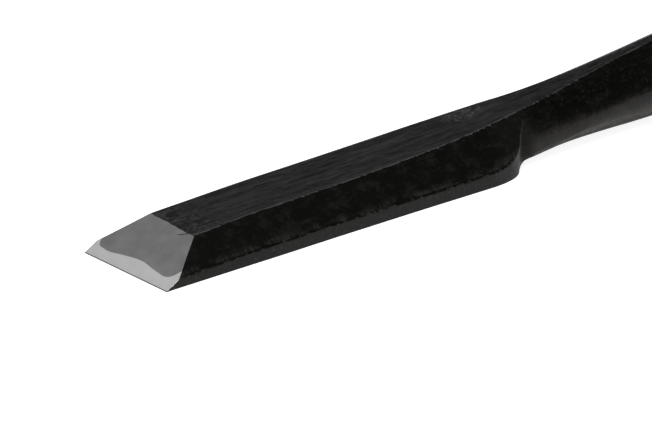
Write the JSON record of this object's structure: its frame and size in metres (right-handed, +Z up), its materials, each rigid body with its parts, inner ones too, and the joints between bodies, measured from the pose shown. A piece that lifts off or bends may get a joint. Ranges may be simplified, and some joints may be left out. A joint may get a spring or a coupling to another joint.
{
  "type": "bevel-edged bench chisel",
  "caption": "Struck bench chisel for wood: black laminated blade with side bevels and a bright sharpened edge, round neck, ferruled oak handle and steel hoop.",
  "frame": {"origin": "middle of the bounding box in X and Y, at the height of the flat back and the ferrule's rear rim, which both rest on the bench", "axes": "+X from the cutting edge towards the struck end, +Z up away from the flat back on the bevel's side, +Y across the blade"},
  "size_m": [0.2266, 0.026, 0.0297],
  "materials": {
    "black_iron": "satin black forge finish with fine lengthwise grinding lines, bright on the sharpened bevel",
    "tool_steel": "finely honed bright steel, black on the side flats",
    "black_steel": "satin black, worn bright at the rims",
    "oak": "oiled, fine open grain along the handle"
  },
  "bodies": {
    "root": {"blade_body": "black_iron", "cutting_steel": "tool_steel", "ferrule": "black_steel", "handle": "oak", "hoop": "black_steel"}
  },
  "joints": []
}
